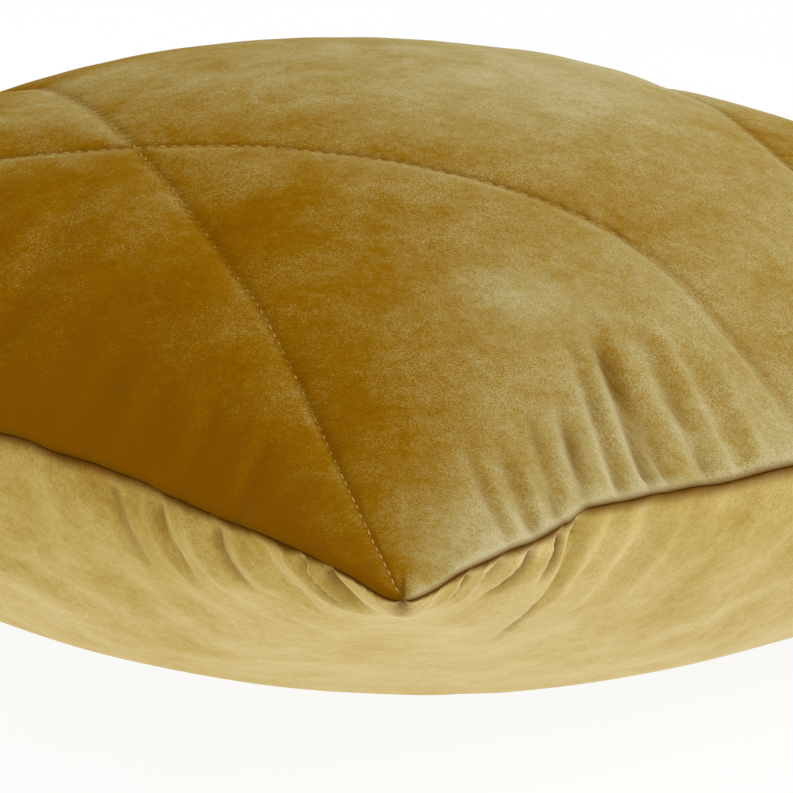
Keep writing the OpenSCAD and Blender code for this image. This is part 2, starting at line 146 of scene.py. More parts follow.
def plan(u, v):
    """Where cloth point (u, v) is, seen from above. The zipper's edge is straight along its tapes."""
    plain = 1 - EAR / HALF[0]
    straight = plain + (ZIP_HALF / HALF[0] - plain) * smooth(v)
    x = u * (HALF[0] - SIDE_PULL * (1 - flare(v, 1 - EAR / HALF[1])))
    y = v * (HALF[1] - SIDE_PULL * (1 - flare(u, straight)))
    across = np.clip(1 - (1 - np.abs(u)) * HALF[0] / TIP, 0, 1)
    along = np.clip(1 - (1 - np.abs(v)) * HALF[1] / TIP, 0, 1)
    squash = 1 - np.maximum(across, along) / np.maximum(np.hypot(across, along), 1e-9)
    squash = squash * TIP * (across > 0) * (along > 0)
    return x - np.sign(u) * across * squash, y - np.sign(v) * along * squash


def seam_distance(u, v):
    """Flat distance to the nearest edge of the cloth."""
    return np.minimum((1 - np.abs(u)) * HALF[0], (1 - np.abs(v)) * HALF[1])


def zipper_share(u, v):
    """1 on the cloth beside the zipper, 0 elsewhere."""
    along = smooth((ZIP_HALF / HALF[0] + 0.03 - np.abs(u)) / 0.06)
    across = smooth(1.6 - (1 - v) * HALF[1] / (16 * MM))
    return along * across


def beside_zipper(u, v):
    """Like zipper_share but reaching further in: where the cover has to clear the zipper tapes."""
    along = smooth((ZIP_HALF / HALF[0] + 0.12 - np.abs(u)) / 0.12)
    return along * smooth(1.7 - (1 - v) * HALF[1] / (45 * MM))


def rounded_min(a, b, blend):
    h = np.clip(0.5 + 0.5 * (b - a) / blend, 0, 1)
    return b * (1 - h) + a * h - blend * h * (1 - h)


def filled(u, v, side):
    """The cover's outer face before quilting and folds, as points."""
    x, y = plan(u, v)
    dome = np.clip((1 - u * u) * (1 - v * v), 0, 1)
    from_seam = seam_distance(u, v)
    tip = np.hypot((1 - np.abs(u)) * HALF[0], (1 - np.abs(v)) * HALF[1]) / TIP
    drop = CORNER_DROP * np.abs(u * v) ** 3 - 0.8 * MM * np.exp(-tip ** 2)
    gap = SEAM_GAP + (SLIT - SEAM_GAP) * zipper_share(u, v) * np.exp(-from_seam / (4 * MM))
    zipper = beside_zipper(u, v)
    roll = ROLL * (1 - zipper) * (1 - np.exp(-from_seam / ROLL_REACH))
    roll = roll + ZIPPER_ROLL[side] * zipper * (1 - np.exp(-from_seam / (2.4 * MM)))
    soft = SOFT_EDGE * (1 - zipper)
    if side == FRONT:
        height = FRONT_HEIGHT * ((dome + soft) ** FRONT_POWER - soft ** FRONT_POWER)
    else:
        height = BACK_HEIGHT * ((dome + soft) ** BACK_POWER - soft ** BACK_POWER)
    z = side * (height + roll + gap) - drop
    if side == BACK:
        z = -rounded_min(-z, DEPTH, REST_BLEND)
    return np.stack([x, y, SEAM_Z + z], -1)


def normals_of(points, side):
    du, dv = np.gradient(points, axis=0), np.gradient(points, axis=1)
    n = np.cross(du, dv) * side
    return n / np.maximum(np.linalg.norm(n, axis=-1, keepdims=True), 1e-12)


# ---- Folds that the stuffing makes, by cloth simulation --------------------------------------

SIM_CELLS = 84
SIM_FRAMES = 27
SIM_SMOOTHING = 12
SIM_GRAIN = 1


def sewn_square():
    """Two square cloths that share their edge, a little apart, with seeded unevenness."""
    t = np.linspace(-1, 1, SIM_CELLS + 1)
    u, v = np.meshgrid(t, t, indexing="ij")
    inside = ((np.abs(u) < 1) & (np.abs(v) < 1)).ravel()
    lift = 12 * MM * np.sqrt(np.clip((1 - u * u) * (1 - v * v), 0, 1))
    uneven = 1 + 0.25 * fractal(u * HALF[0], v * HALF[1], 45 * MM, 11)
    top = np.stack([u * HALF[0], v * HALF[1], lift * uneven], -1).reshape(-1, 3)
    count = len(top)
    under = np.arange(count)
    under[inside] = count + np.arange(inside.sum())
    points = np.concatenate([top, top[inside] * [1, 1, -1]])
    q = np.arange(count).reshape(SIM_CELLS + 1, SIM_CELLS + 1)
    quads = np.stack([q[:-1, :-1], q[1:, :-1], q[1:, 1:], q[:-1, 1:]], -1).reshape(-1, 4)
    faces = np.concatenate([quads, under[quads][:, ::-1]])
    return points, faces, q, under.reshape(q.shape)


def inflate():
    """Fills the sewn square with pressure and returns the two faces as grids of points."""
    points, faces, top, under = sewn_square()
    mesh = bpy.data.meshes.new("inflating")
    mesh.from_pydata(points.tolist(), [], faces.tolist())
    cover = bpy.data.objects.new("inflating", mesh)
    bpy.context.scene.collection.objects.link(cover)
    cloth = cover.modifiers.new("cloth", "CLOTH")
    s = cloth.settings
    s.quality = 5
    s.mass = 0.15
    s.tension_stiffness = 15
    s.compression_stiffness = 5
    s.shear_stiffness = 1.5
    s.bending_stiffness = 0.1
    s.tension_damping = s.compression_damping = s.shear_damping = 5
    s.bending_damping = 0.5
    s.use_pressure = True
    s.uniform_pressure_force = 2
    s.effector_weights.gravity = 0
    cloth.collision_settings.use_collision = False
    cloth.collision_settings.use_self_collision = False
    cloth.point_cache.frame_start = 1
    cloth.point_cache.frame_end = SIM_FRAMES
    scene = bpy.context.scene
    scene.frame_start, scene.frame_end = 1, SIM_FRAMES
    for step in range(1, SIM_FRAMES + 1):
        scene.frame_set(step)
    evaluated = cover.evaluated_get(bpy.context.evaluated_depsgraph_get())
    result = np.empty(len(points) * 3)
    evaluated.data.vertices.foreach_get("co", result)
    result = result.reshape(-1, 3)
    bpy.data.objects.remove(cover)
    bpy.data.meshes.remove(mesh)
    scene.frame_set(1)
    return result[top], result[under]


def relaxed(grid, rounds):
    """Smooths a grid of points. Its edge stays on the edge and is smoothed along itself only."""
    for _ in range(rounds):
        for axis in (0, 1):
            g = np.moveaxis(grid, axis, 0)
            first, last = 2 * g[:1] - g[1:2], 2 * g[-1:] - g[-2:-1]
            g = np.concatenate([first, g, last])
            g = (g[:-2] + 2 * g[1:-1] + g[2:]) / 4
            grid = np.moveaxis(g, 0, axis)
    return grid


def folds():
    """How far the simulated cloth's folds stand off its smoothed shape, one grid for each face."""
    result = {}
    for side, face in zip((FRONT, BACK), inflate()):
        face = relaxed(face, SIM_GRAIN)
        result[side] = face - relaxed(face, SIM_SMOOTHING)
    return result


FOLDS = folds()
FOLD_GAIN = {FRONT: 0.34, BACK: 0.8}


def fold_offset(u, v, side):
    a, b = (u + 1) / 2 * SIM_CELLS, (v + 1) / 2 * SIM_CELLS
    return sample(FOLDS[side], a, b) * FOLD_GAIN[side]


# ---- Quilting -------------------------------------------------------------------------------

# Each line of topstitching starts at a corner, runs straight towards the middle of the far side edge,
# and near that edge turns to meet it squarely. This is part.scad's quilting_spread and its turn.
QUILTING = [(1, -1), (-1, -1), (-1, 1), (1, 1)]
SPREAD, TURN = 48 * MM / HALF[1], 0.06


def rounded_max(a, b, blend):
    h = np.clip(0.5 + (a - b) / (2 * blend), 0, 1)
    return b * (1 - h) + a * h + blend * h * (1 - h)


def line_point(corner, share):
    """Cloth point a share of the way along the line of topstitching from a corner."""
    return corner[0] * (1 - 2 * share), corner[1] * rounded_max(1 - share, SPREAD, TURN)


def line_place(u, v, corner):
    """Flat distance from a line of topstitching, with its sign, and how far along X it is."""
    share = (1 - u / corner[0]) / 2
    step = 0.01
    line_v = line_point(corner, share)[1]
    slope = (line_point(corner, share + step)[1] - line_v) / (2 * step)
    return (v - line_v) * HALF[1] / np.hypot(1, slope), share * 2 * HALF[0]


def quilting_depth(u, v):
    """Depth of the valleys, and their share from 0 to 1, which also presses the wadding."""
    from_seam = seam_distance(u, v)
    depth, nearest = 0, 1e9
    for k, corner in enumerate(QUILTING):
        off, along = line_place(u, v, corner)
        off = np.abs(off + 0.5 * MM * value_noise(along, along * 0, 40 * MM, 70 + k))
        uneven = 1 + 0.25 * value_noise(along, off, 28 * MM, 80 + k)
        valley = VALLEY * np.exp(-(off / VALLEY_HALF) ** 1.5)
        crease = CREASE * np.exp(-off / CREASE_HALF)
        pinch = 1 + 0.18 * np.cos(along / STITCH_PITCH * 2 * math.pi) * np.exp(-off / (3 * MM))
        depth = np.maximum(depth, (valley + crease * pinch) * uneven)
        nearest = np.minimum(nearest, off)
    fade = smooth(from_seam / (40 * MM)) * 0.8 + 0.2 * smooth(from_seam / (5 * MM))
    share = np.exp(-(nearest / (8 * MM)) ** 2) * fade
    puff = PUFF * smooth(nearest / PUFF_REACH) * smooth(from_seam / (70 * MM))
    return depth * fade - puff, share


# ---- Folds gathered into the seams ----------------------------------------------------------

def curve_through(points, count=24):
    """A smooth curve through a few points."""
    table = np.asarray(points, float)
    t = np.linspace(0, len(table) - 1, count)
    return np.stack([sample(table[:, None, k] * np.ones(4), t, t * 0 + 1) for k in (0, 1)], -1)


def fold(u, v, width, height, *path):
    """A ridge, or a valley if height is negative, along a path in flat mm. It fades at its far end."""
    curve = curve_through(path) * MM
    x, y = u * HALF[0], v * HALF[1]
    reach = 3.2 * width * MM
    low, high = curve.min(0) - reach, curve.max(0) + reach
    near = (x > low[0]) & (x < high[0]) & (y > low[1]) & (y < high[1])
    result = np.zeros_like(u)
    if not near.any():
        return result
    places = np.stack([x[near], y[near]], -1)
    best, along = np.full(len(places), 1e9), np.zeros(len(places))
    for k in range(len(curve) - 1):
        run = curve[k + 1] - curve[k]
        part = np.clip((places - curve[k]) @ run / (run @ run), 0, 1)
        off = np.hypot(*(places - curve[k] - part[:, None] * run).T)
        closer = off < best
        best[closer] = off[closer]
        along[closer] = ((k + part) / (len(curve) - 1))[closer]
    # nearly full height at the seam, and fading out over the far half
    swell = smooth(along / 0.12 + 0.45) * smooth((1 - along) / 0.55)
    taper = width * MM * (0.55 + 0.45 * swell)
    result[near] = height * MM * np.exp(-(best / taper) ** 2) * swell
    return result


# The two edges of the cloth that meet at the near corner
PLUS_X, MINUS_Y = "plus x", "minus y"


def drawn_in(edge, place, length, drift):
    """Path of a fold from a place on the seam inwards, in flat mm. It drifts along the seam."""
    inwards = length * np.array([0.0, 0.35, 0.7, 1.0])
    along = place + drift * inwards * (0.6 + 0.4 * inwards / length)
    across = HALF[0] / MM - 1 - inwards
    return np.stack([across, along] if edge == PLUS_X else [along, -across], -1)


def gathers(edge, first, last, count, width, height, length, drift, seed):
    """Folds drawn into a stretch of seam, valleys and ridges by turns, uneven but the same each run."""
    random = np.random.default_rng(seed)
    drawn = []
    for k in range(count):
        place = first + (last - first) * (k + random.uniform(0.2, 0.8)) / count
        wide, tall, long, slant = random.uniform(0.7, 1.3, 4)
        rise = height if k % 2 else -1.3 * height
        path = drawn_in(edge, place, length * long, drift * slant)
        drawn.append((width * wide, rise * tall, *path))
    return drawn


# Each stretch: edge, first and last place on it, count, width, height, length, drift, seed, in flat mm
FRONT_FOLDS = (
    gathers(PLUS_X, -180, -145, 6, 2.2, 0.6, 30, 0.4, 1)
    + gathers(PLUS_X, -142, -108, 5, 2.8, 0.9, 50, 0.5, 2)
    + gathers(PLUS_X, -105, -65, 6, 2.6, 0.8, 50, 0.2, 3)
    + gathers(MINUS_Y, 160, 80, 7, 3.5, 0.8, 35, -0.35, 4)
    + [(6.5, -1.7, (40, -210), (20, -165), (0, -130))]
)
BACK_FOLDS = (
    [(1.8, -1.5, (228, -228), (222, -222), (216, -216))]
    + [(3.4, -4.0, *drawn_in(PLUS_X, -140, 25, -0.15))]
    + [(1.5, -1.4, (210, -145), (195, -140), (175, -135))]
    + gathers(PLUS_X, -145, -205, 8, 2.2, 1.3, 12, -0.6, 5)
    + gathers(PLUS_X, -130, -95, 4, 4.5, 1.0, 25, -0.35, 6)
    + gathers(MINUS_Y, 195, 170, 4, 2.4, 1.4, 20, 0.9, 7)
    + gathers(MINUS_Y, 165, 95, 7, 2.8, 1.0, 22, 0.4, 8)
)


def corner_ripples(u, v):
    """Fine rings of gathered cloth around each corner of the back face."""
    x, y = (1 - np.abs(u)) * HALF[0], (1 - np.abs(v)) * HALF[1]
    away = np.hypot(x, y)
    uneven = value_noise(u * HALF[0], v * HALF[1], 9 * MM, 90)
    window = smooth((away - 5 * MM) / (6 * MM)) * smooth((34 * MM - away) / (16 * MM))
    wave = np.sin(away / (5.4 * MM) * 2 * math.pi + 4.5 * uneven)
    return 0.2 * MM * wave * window * (0.5 + 0.5 * uneven)


def seam_puckers(u, v, side):
    """Small scallops where the cloth is gathered into its seam."""
    from_seam = seam_distance(u, v)
    around = np.where((1 - np.abs(u)) * HALF[0] < (1 - np.abs(v)) * HALF[1],
                      v * HALF[1] + np.sign(u) * 0.7, u * HALF[0] + np.sign(v) * 1.9)
    seed = 30 if side == FRONT else 40
    near = value_noise(around, from_seam * 0.25, 7 * MM, seed) * 0.55 * MM * np.exp(-from_seam / (7 * MM))
    far = value_noise(around, from_seam * 0.3, 19 * MM, seed + 1) * 1.3 * MM
    far = far * np.exp(-from_seam / (30 * MM)) * smooth(from_seam / (6 * MM))
    return (near + far) * smooth(from_seam / (1.5 * MM)) * (1 - zipper_share(u, v))


def bump_at(x, middle, before, after):
    """A peak of height 1, with its own half width on each side."""
    off = x / MM - middle
    return np.exp(-np.abs(off) / np.where(off < 0, before, after)) * (np.abs(off) < 120)


def hill_at(x, middle, width):
    return np.exp(-((x / MM - middle) / width) ** 2)


def seam_wander(u, v):
    """The seam line's own unevenness: up or down, the same on both faces, fading inwards."""
    from_seam = seam_distance(u, v)
    on_side = (1 - np.abs(u)) * HALF[0] < (1 - np.abs(v)) * HALF[1]
    x, y = u * HALF[0], v * HALF[1]
    around = np.where(on_side, y + np.sign(u) * 0.7, x + np.sign(v) * 1.9)
    wave = 0.5 * MM * value_noise(around, around * 0, 45 * MM, 50)
    wave = wave + 0.35 * MM * value_noise(around, around * 0, 9 * MM, 51)
    pinch = 2.9 * MM * bump_at(y, -140, 9, 22) * (on_side & (u > 0))
    sag = -1.2 * MM * hill_at(y, -85, 22) * (on_side & (u > 0))
    left = (-2.5 * hill_at(x, 140, 35) + 1.8 * hill_at(x, 50, 25)) * MM * (~on_side & (v < 0))
    corner = np.abs((1 - np.abs(u)) * HALF[0] - (1 - np.abs(v)) * HALF[1])
    fade = np.exp(-from_seam / (25 * MM)) * smooth(corner / (16 * MM))
    tight = np.exp(-from_seam / (16 * MM))
    return (wave + sag + left) * fade * (1 - zipper_share(u, v)) + pinch * tight


def surface(u, v, side):
    """The cover's outer face with its quilting and folds."""
    base = filled(u, v, side)
    normal = normals_of(base, side)
    off = seam_puckers(u, v, side)
    if side == FRONT:
        off = off - quilting_depth(u, v)[0]
        lumps = 0.5 * MM * fractal(u * HALF[0], v * HALF[1], 34 * MM, 5)
        off = off + lumps * smooth(seam_distance(u, v) / 0.03)
    else:
        off = off + corner_ripples(u, v)
    for each in FRONT_FOLDS if side == FRONT else BACK_FOLDS:
        off = off + fold(u, v, *each)
    free = 1 - zipper_share(u, v)
    points = base + normal * off[..., None] + fold_offset(u, v, side) * free[..., None]
    points[..., 2] += seam_wander(u, v)
    lowest = SEAM_Z - DEPTH
    points[..., 2] = np.maximum(points[..., 2], lowest)
    return points


# ---- Meshes ---------------------------------------------------------------------------------

def crowded(count):
    """count + 1 values from -1 to 1, closer together at both ends."""
    t = np.linspace(-1, 1, count + 1)
    return (1 - EDGE_CROWDING) * t + EDGE_CROWDING * np.sin(t * math.pi / 2)


def grid(count, reach=1.0):
    t = crowded(count) * reach
    return np.meshgrid(t, t, indexing="ij")


U, V = grid(CELLS)
OUTER = {side: surface(U, V, side) for side in (FRONT, BACK)}
OUTER_NORMAL = {side: normals_of(OUTER[side], side) for side in (FRONT, BACK)}
TICKS = crowded(CELLS)


def place(u):
    return np.interp(u, TICKS, np.arange(CELLS + 1))


def on_cover(u, v, side, depth=0.0):
    """Points a given depth under the cover's outer face."""
    a, b = place(u), place(v)
    normal = sample(OUTER_NORMAL[side], a, b)
    depth = np.asarray(depth)
    return sample(OUTER[side], a, b) - normal * (depth[..., None] if depth.ndim else depth)


def paint(piece, name, values):
    """Stores one value per point, for the material to read. Points past the values get 0."""
    layer = piece.data.attributes.new(name, "FLOAT", "POINT")
    filled_up = np.zeros(len(piece.data.vertices), np.float32)
    filled_up[:values.size] = values.ravel()
    layer.data.foreach_set("value", filled_up)


def make(name, points, faces, shade_smooth=True):
    mesh = bpy.data.meshes.new(name)
    mesh.from_pydata(np.asarray(points).tolist(), [], [list(f) for f in faces])
    mesh.validate()
    mesh.polygons.foreach_set("use_smooth", [shade_smooth] * len(mesh.polygons))
    mesh.update()
    piece = bpy.data.objects.new(name, mesh)
    bpy.context.scene.collection.objects.link(piece)
    return piece


def quads(index, flip):
    q = np.stack([index[:-1, :-1], index[1:, :-1], index[1:, 1:], index[:-1, 1:]], -1).reshape(-1, 4)
    return q[:, ::-1] if flip else q


def rim(index):
    """The edge of a grid, once round."""
    return np.concatenate([index[:-1, 0], index[-1, :-1], index[:0:-1, -1], index[0, :0:-1]])


def collar(outer, inner, flip):
    """Faces between two loops, the outer one with a whole number of points for each inner one."""
    step = len(outer) // len(inner)
    faces = []
    for i in range(len(inner)):
        j = (i + 1) % len(inner)
        run = [outer[(i * step + k) % len(outer)] for k in range(step + 1)]
        face = run + [inner[j], inner[i]]
        faces.append(face[::-1] if flip else face)
    return faces


# Direction of the painted light on each face: slopes turned towards it are painted paler and slopes turned
# away darker. On the front it comes from the key light's side, on the back from below, off the bright
# floor.
PAINTED_LIGHT_FROM = {FRONT: (0.72, 0.69, 0.0), BACK: (0.3, 0.1, -0.5)}

# Patches where the front's tone is made paler or, if negative, darker, by brushed pile and by painted
# shade: place in flat mm, radius, amount
BRUSHED_AND_SHADED = [
    ((215, -195), 15, 0.35),
    ((160, -100), 20, 0.30),
    ((30, -30), 70, 0.35),
    ((-60, -90), 50, 0.35),
    ((20, 60), 70, 0.25),
    # painted shade: darkens the far right wedge, whose slope would otherwise be painted pale
    ((110, 100), 60, -0.70),
    ((150, -180), 30, -0.10),
]


def painted_light_and_brushing(side):
    """Painted light and shade by the slope of the smooth shape, and on the front patches of brushed pile
    and of painted shade.
    """
    light_lean = normals_of(filled(U, V, side), side) @ PAINTED_LIGHT_FROM[side]
    if side == FRONT:
        x, y = U * HALF[0] / MM, V * HALF[1] / MM
        wander = 0.35 * fractal(U * HALF[0], V * HALF[1], 12 * MM, 120)
        for (u, v), radius, amount in BRUSHED_AND_SHADED:
            off = np.hypot(x - u, y - v) / radius
            light_lean = light_lean + amount * np.exp(-np.maximum(off + wander, 0) ** 2)
    return light_lean


def ground_and_shade_of(side):
    """Where the face takes its ground colour: the seam line where the pile parts, each corner tip, a
    painted shade band on the shadow side of each quilting crease, and painted shade in sharp fold creases.
    """
    from_seam = seam_distance(U, V)
    x, y = (1 - np.abs(U)) * HALF[0], (1 - np.abs(V)) * HALF[1]
    reach = {FRONT: 5 * MM, BACK: 15 * MM}[side]
    # darker towards each corner tip
    corner_tip = np.exp(-((x - y) / (4.5 * MM)) ** 2 - ((x + y) / 1.41 / reach) ** 2)
    ground_and_shade_mask = np.maximum(np.exp(-(from_seam / (0.5 * MM)) ** 2), corner_tip)
    if side == FRONT:
        for quilting_corner in QUILTING:
            # painted shade: a band beside each line of quilting, shifted to the shadow side of its crease
            off = line_place(U, V, quilting_corner)[0] - 0.6 * MM
            ground_and_shade_mask = np.maximum(ground_and_shade_mask, 0.85 * np.exp(-(off / (0.95 * MM)) ** 2))
    placed = FRONT_FOLDS if side == FRONT else BACK_FOLDS
    # painted shade in the valleys of the narrow folds
    crease_shade = sum(np.maximum(-fold(U, V, *each), 0) for each in placed if each[0] < 3)
    uneven = 0.7 + 0.5 * value_noise(U * HALF[0], V * HALF[1], 8 * MM, 95)
    return np.maximum(ground_and_shade_mask, np.clip(0.5 * crease_shade / MM * uneven, 0, 0.8))


def cover_piece(side, name):
    """One half of the cover: outer face, turned-in seam allowance, inner face."""
    n, m = CELLS, CELLS // INNER_STEP
    outer = np.arange((n + 1) ** 2).reshape(n + 1, n + 1)
    inner = (np.arange((m + 1) ** 2) + (n + 1) ** 2).reshape(m + 1, m + 1)
    reach = 1 - 3.0 * MM / HALF[0]
    iu, iv = grid(m, reach)
    inner_points = on_cover(iu, iv, side, VELVET)
    edge = rim(outer)[::INNER_STEP]
    seam = OUTER[side].reshape(-1, 3)[edge]
    u, v = U.ravel()[edge], V.ravel()[edge]
    zipper = zipper_share(u, v)[:, None]
    allowance = 10 * MM + (LIP - 10 * MM) * zipper
    turned = seam.copy()
    turned[:, :2] = seam[:, :2] * (1 - allowance / (HALF - SIDE_PULL))
    pressed = turned + [0, 0, side * 1.0 * MM]
    first = (n + 1) ** 2 + (m + 1) ** 2
    loops = [first + np.arange(len(edge)), first + len(edge) + np.arange(len(edge))]
    flip = side == BACK
    faces = [tuple(f) for f in quads(outer, flip)]
    faces += collar(rim(outer), loops[0], not flip)
    faces += collar(loops[0], loops[1], not flip)
    faces += collar(loops[1], rim(inner), not flip)
    faces += [tuple(f) for f in quads(inner, not flip)]
    points = np.concatenate([OUTER[side].reshape(-1, 3), inner_points.reshape(-1, 3), turned, pressed])
    piece = make(name, points, faces)
    paint(piece, "ground_and_shade_mask", ground_and_shade_of(side))
    paint(piece, "light_and_brushing", painted_light_and_brushing(side))
    return piece


def layer_piece(name, side, cells, inset, top, bottom):
    """A closed layer under one face, between two depths that may vary over the cloth."""
    u, v = grid(cells, 1 - inset / HALF[0])
    depth = [d(u, v) if callable(d) else np.full(u.shape, d) for d in (top, bottom)]
    upper, lower = on_cover(u, v, side, depth[0]), on_cover(u, v, side, depth[1])
    a = np.arange(u.size).reshape(u.shape)
    b = a + u.size
    flip = side == BACK
    faces = [tuple(f) for f in quads(a, flip)] + [tuple(f) for f in quads(b, not flip)]
    faces += collar(rim(a), rim(b), not flip)
    return make(name, np.concatenate([upper.reshape(-1, 3), lower.reshape(-1, 3)]), faces)


def bag_piece(name, cells, inset, front_depth, back_depth):
    """A closed pillow under both faces, smooth and without quilting."""
    u, v = grid(cells, 1 - inset / HALF[0])
    grids = []
    for side, depth in ((FRONT, front_depth), (BACK, back_depth)):
        points = filled(u, v, side)
        points = points - normals_of(points, side) * depth
        grids.append(points)
    middle = (grids[0] + grids[1]) / 2
    for points in grids:
        for part in (np.s_[0, :], np.s_[-1, :], np.s_[:, 0], np.s_[:, -1]):
            points[part] = middle[part]
    a = np.arange(u.size).reshape(u.shape)
    b = a + u.size
    edge = np.zeros(u.shape, bool)
    edge[[0, -1], :] = True
    edge[:, [0, -1]] = True
    b = np.where(edge, a, b)
    faces = [tuple(f) for f in quads(a, False)] + [tuple(f) for f in quads(b, True)]
    points = np.concatenate([grids[0].reshape(-1, 3), grids[1].reshape(-1, 3)])
    used = np.unique(np.array(faces))
    order = np.zeros(len(points), int)
    order[used] = np.arange(len(used))
    return make(name, points[used], [tuple(order[list(f)]) for f in faces])


def tube(path, normals, radius, sides=6, closed=False):
    """Points and faces of a tube along a path. Its first direction is the surface's normal."""
    path = np.asarray(path)
    along = np.gradient(path, axis=0)
    if closed:
        along = np.roll(path, -1, 0) - np.roll(path, 1, 0)
    along = along / np.linalg.norm(along, axis=1, keepdims=True)
    across = np.cross(along, normals)
    across = across / np.linalg.norm(across, axis=1, keepdims=True)
    up = np.cross(across, along)
    angle = np.arange(sides) * 2 * math.pi / sides
    radius = np.broadcast_to(np.asarray(radius, float), (len(path),))
    ring = across[:, None] * np.cos(angle)[None, :, None] + up[:, None] * np.sin(angle)[None, :, None]
    points = (path[:, None] + ring * radius[:, None, None]).reshape(-1, 3)
    faces = []
    spans = len(path) if closed else len(path) - 1
    for i in range(spans):
        for a in range(sides):
            b, j = (a + 1) % sides, (i + 1) % len(path)
            faces.append((i * sides + a, j * sides + a, j * sides + b, i * sides + b))
    if not closed:
        faces.append(tuple(range(sides)))
        faces.append(tuple((len(path) - 1) * sides + a for a in reversed(range(sides))))
    return points, faces


def joined(parts):
    points, faces, start = [], [], 0
    for p, f in parts:
        points.append(p)
        faces += [tuple(start + i for i in face) for face in f]
        start += len(p)
    return np.concatenate(points), faces


# ---- Stitches -------------------------------------------------------------------------------

THREAD_R = 0.23 * MM
SEAM_THREAD_R = 0.45 * MM
STITCH_INSET = 2.6 * MM


def line_stitches(name, corner, seed):
    """One line of topstitching: separate stitches that dip into the cloth at both ends."""
    rng = np.random.default_rng(seed)
    shares = np.linspace(0, 1, 401)
    route = np.stack(line_point(corner, shares), -1)
    travelled = np.concatenate([[0], np.cumsum(np.hypot(*(np.diff(route, axis=0) * HALF).T))])
    first, last = 5 * MM, travelled[-1] - 5 * MM
    parts = []
    for start in np.arange(first, last - STITCH, STITCH_PITCH):
        start = start + rng.uniform(-0.15, 0.15) * MM
        s = np.linspace(0, 1, 6)
        share = np.interp(start + s * STITCH, travelled, shares)
        across = rng.uniform(-0.12, 0.12) * MM + (s - 0.5) * rng.uniform(-0.2, 0.2) * MM
        uv = np.stack(line_point(corner, share), -1)
        uv[:, 1] += across / HALF[1]
        depth = 0.75 * MM * (2 * s - 1) ** 4 + 0.05 * MM
        path = on_cover(uv[:, 0], uv[:, 1], FRONT, depth)
        normal = sample(OUTER_NORMAL[FRONT], place(uv[:, 0]), place(uv[:, 1]))
        parts.append(tube(path, normal, THREAD_R * (1 - 0.45 * (2 * s - 1) ** 4)))
    return make(name, *joined(parts))


def edge_thread(name):
    """The thread of the edge seam, a little way in from the seam line, all round but the zipper."""
    t = crowded(CELLS)[::2]
    ones = np.ones_like(t)
    zip_end = (ZIP_HALF + 4 * MM) / HALF[0]
    right, left = t[t > zip_end], t[t < -zip_end]
    u = np.concatenate([left[::-1], -ones[1:], t[1:], ones[1:], right[::-1][1:]])
    v = np.concatenate([np.ones(len(left)), t[::-1][1:], -ones[1:], t[1:], np.ones(len(right) - 1)])
    a, b = place(u), place(v)
    path = (sample(OUTER[FRONT], a, b) + sample(OUTER[BACK], a, b)) / 2
    path[:, :2] *= 1 - STITCH_INSET / (HALF - SIDE_PULL)
    keep = np.concatenate([[True], np.linalg.norm(np.diff(path, axis=0), axis=1) > 0.4 * MM])
    path = path[keep]
    up = np.tile([0, 0, 1.0], (len(path), 1))
    return make(name, *tube(path, up, SEAM_THREAD_R))


# ---- Materials ------------------------------------------------------------------------------

def linear(*srgb):
    return tuple(c / 12.92 if c <= 0.04045 else ((c + 0.055) / 1.055) ** 2.4 for c in srgb) + (1.0,)


class Nodes:
    """A material's nodes, with short calls to add and link them."""

    def __init__(self, name):
        self.material = bpy.data.materials.new(name)
        self.material.use_nodes = True
        self.tree = self.material.node_tree
        self.shader = self.tree.nodes["Principled BSDF"]
        self.coords = self.tree.nodes.new("ShaderNodeTexCoord")

    def add(self, kind, **values):
        node = self.tree.nodes.new(kind)
        for key, value in values.items():
            setattr(node, key, value)
        return node

    def link(self, out, to):
        self.tree.links.new(out, to)

    def mapped(self, scale=(1, 1, 1), turn=(0, 0, 0)):
        node = self.add("ShaderNodeMapping")
        node.inputs["Scale"].default_value = scale
        node.inputs["Rotation"].default_value = turn
        self.link(self.coords.outputs["Object"], node.inputs["Vector"])
        return node.outputs[0]

    def noise(self, scale, detail=3, rough=0.55, warp=0.0, vector=None):
        node = self.add("ShaderNodeTexNoise")
        node.inputs["Scale"].default_value = scale
        node.inputs["Detail"].default_value = detail
        node.inputs["Roughness"].default_value = rough
        node.inputs["Distortion"].default_value = warp
        self.link(vector or self.coords.outputs["Object"], node.inputs["Vector"])
        return node.outputs["Fac"]

    def ramp(self, value, *stops):
        node = self.add("ShaderNodeValToRGB")
        while len(node.color_ramp.elements) < len(stops):
            node.color_ramp.elements.new(0.5)
        for element, (at, colour) in zip(node.color_ramp.elements, stops):
            element.position = at
            element.color = colour if hasattr(colour, "__len__") else (colour, colour, colour, 1)
        self.link(value, node.inputs["Fac"])
        return node.outputs["Color"]

    def maths(self, operation, a, b=0.0, c=None):
        node = self.add("ShaderNodeMath", operation=operation)
        for socket, value in zip(node.inputs, (a, b, c)):
            if value is None:
                continue
            if isinstance(value, (int, float)):
                socket.default_value = value
            else:
                self.link(value, socket)
        return node.outputs[0]

    def mix(self, share, a, b, blend="MIX"):
        node = self.add("ShaderNodeMix", data_type="RGBA", blend_type=blend)
        for socket, value in ((node.inputs["Factor"], share), (node.inputs[6], a), (node.inputs[7], b)):
            if isinstance(value, (int, float, tuple)):
                socket.default_value = value
            else:
                self.link(value, socket)
        return node.outputs[2]

    def bump(self, height, distance, strength=1.0, after=None):
        node = self.add("ShaderNodeBump")
        node.inputs["Strength"].default_value = strength
        node.inputs["Distance"].default_value = distance
        self.link(height, node.inputs["Height"])
        if after is not None:
            self.link(after, node.inputs["Normal"])
        return node.outputs["Normal"]

    def set(self, **values):
        for key, value in values.items():
            self.shader.inputs[key.replace("_", " ")].default_value = value

    def wire(self, key, output):
        self.link(output, self.shader.inputs[key])


